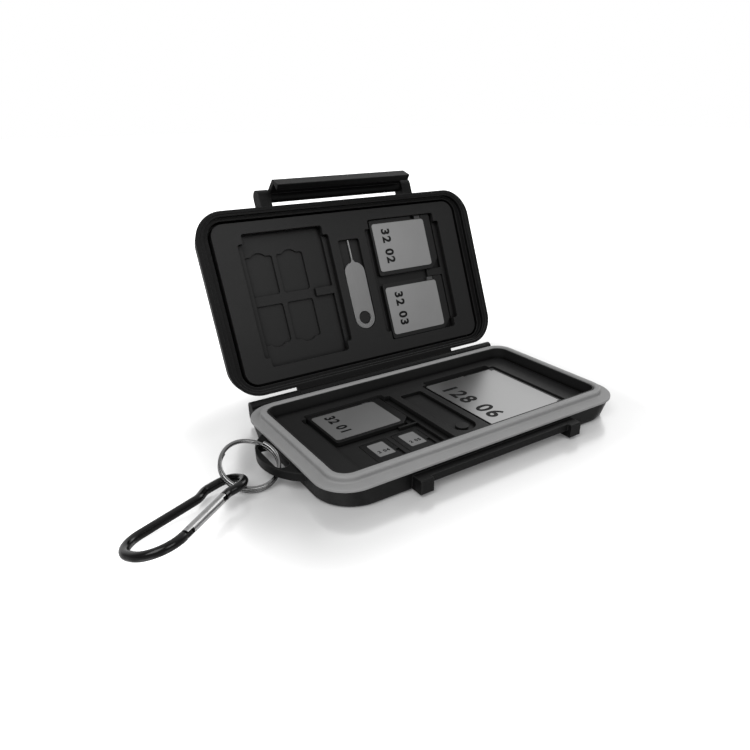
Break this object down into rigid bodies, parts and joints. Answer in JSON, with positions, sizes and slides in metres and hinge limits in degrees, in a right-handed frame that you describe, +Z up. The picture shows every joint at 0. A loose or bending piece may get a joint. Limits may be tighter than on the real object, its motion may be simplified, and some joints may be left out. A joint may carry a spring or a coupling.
{
  "type": "memory card case",
  "caption": "Hinged waterproof pocket case with nested card wells, a grey seal, a front latch and a split ring with carabiner, shown open with cards.",
  "frame": {"origin": "centre of the underside of the lower shell, on the surface it stands on", "axes": "+X along the hinge to the right, +Y from the latch to the hinge, +Z up"},
  "size_m": [0.1844, 0.1142, 0.0853],
  "materials": {
    "case_plastic": "fine moulded texture",
    "tray_plastic": "satin moulded",
    "seal_rubber": "matt grey",
    "pin_steel": "drawn",
    "ring_steel": "plated",
    "black_anodised": "black anodised, glossy",
    "bare_aluminium": "polished",
    "card_plastic": "moulded",
    "card_label": "printed film",
    "lock_plastic": "moulded",
    "cover_steel": "rolled sheet",
    "tool_steel": "stamped"
  },
  "bodies": {
    "base": {"base_shell": "case_plastic", "base_tray": "tray_plastic", "base_gasket": "seal_rubber", "hinge_pin_left": "pin_steel", "hinge_pin_right": "pin_steel"},
    "lid": {"lid_shell": "case_plastic", "lid_tray": "tray_plastic", "latch_pin": "pin_steel"},
    "latch": {"latch": "case_plastic"},
    "ring": {"split_ring": "ring_steel"},
    "carabiner": {"carabiner_body": "black_anodised"},
    "gate": {"carabiner_gate": "bare_aluminium", "gate_rivet": "bare_aluminium", "gate_plunger": "pin_steel", "gate_spring": "pin_steel"},
    "base_sd_card": {"base_sd_body": "card_plastic", "base_sd_label": "card_label"},
    "lid_upper_sd_card": {"lid_upper_sd_body": "card_plastic", "lid_upper_sd_label": "card_label"},
    "lid_lower_sd_card": {"lid_lower_sd_body": "card_plastic", "lid_lower_sd_label": "card_label"},
    "base_sd_slider": {"base_sd_lock": "lock_plastic"},
    "lid_upper_sd_slider": {"lid_upper_sd_lock": "lock_plastic"},
    "lid_lower_sd_slider": {"lid_lower_sd_lock": "lock_plastic"},
    "left_micro_card": {"left_micro_body": "card_plastic", "left_micro_label": "card_label"},
    "right_micro_card": {"right_micro_body": "card_plastic", "right_micro_label": "card_label"},
    "cf_card": {"cf_frame": "card_plastic", "cf_top_plate": "cover_steel", "cf_bottom_plate": "cover_steel"},
    "tool": {"ejector_tool": "tool_steel"}
  },
  "joints": [
    {"name": "lid_hinge", "type": "hinge", "parent": "base", "child": "lid", "pos_m": [0, 0.0381, 0.0074], "axis": [-1, 0, 0], "range_deg": [-112, 0]},
    {"name": "latch_hinge", "type": "hinge", "parent": "lid", "child": "latch", "pos_m": [0, 0.07121, 0.07815], "axis": [-1, 0, 0], "range_deg": [-20, 70]},
    {"name": "ring_swing", "type": "hinge", "parent": "base", "child": "ring", "pos_m": [-0.07055, 0, 0.0055], "axis": [0, 1, 0], "range_deg": [0, 45]},
    {"name": "carabiner_swing", "type": "hinge", "parent": "ring", "child": "carabiner", "pos_m": [-0.0824, 0.00031, 0.00317], "axis": [-0.714, 0.611, -0.342], "range_deg": [0, 50]},
    {"name": "gate_pivot", "type": "hinge", "parent": "carabiner", "child": "gate", "pos_m": [-0.10288, -0.02479, 0.00637], "axis": [-0.1429, 0.2359, 0.9612], "range_deg": [0, 28], "stiffness_Nm_per_rad": 0.002, "springref_deg": -2.86},
    {"name": "base_sd_card_lift", "type": "slide", "parent": "base", "child": "base_sd_card", "axis": [0, 0, 1], "range_m": [0, 0.012]},
    {"name": "lid_upper_sd_card_lift", "type": "slide", "parent": "lid", "child": "lid_upper_sd_card", "axis": [0, -0.9272, 0.3746], "range_m": [0, 0.012]},
    {"name": "lid_lower_sd_card_lift", "type": "slide", "parent": "lid", "child": "lid_lower_sd_card", "axis": [0, -0.9272, 0.3746], "range_m": [0, 0.012]},
    {"name": "left_micro_card_lift", "type": "slide", "parent": "base", "child": "left_micro_card", "axis": [0, 0, 1], "range_m": [0, 0.012]},
    {"name": "right_micro_card_lift", "type": "slide", "parent": "base", "child": "right_micro_card", "axis": [0, 0, 1], "range_m": [0, 0.012]},
    {"name": "cf_card_lift", "type": "slide", "parent": "base", "child": "cf_card", "axis": [0, 0, 1], "range_m": [0, 0.012]},
    {"name": "tool_lift", "type": "slide", "parent": "lid", "child": "tool", "axis": [0, -0.9272, 0.3746], "range_m": [0, 0.012]},
    {"name": "base_sd_lock_slide", "type": "slide", "parent": "base_sd_card", "child": "base_sd_slider", "axis": [-1, 0, 0], "range_m": [0, 0.0024]},
    {"name": "lid_upper_sd_lock_slide", "type": "slide", "parent": "lid_upper_sd_card", "child": "lid_upper_sd_slider", "axis": [-1, 0, 0], "range_m": [0, 0.0024]},
    {"name": "lid_lower_sd_lock_slide", "type": "slide", "parent": "lid_lower_sd_card", "child": "lid_lower_sd_slider", "axis": [-1, 0, 0], "range_m": [0, 0.0024]}
  ]
}
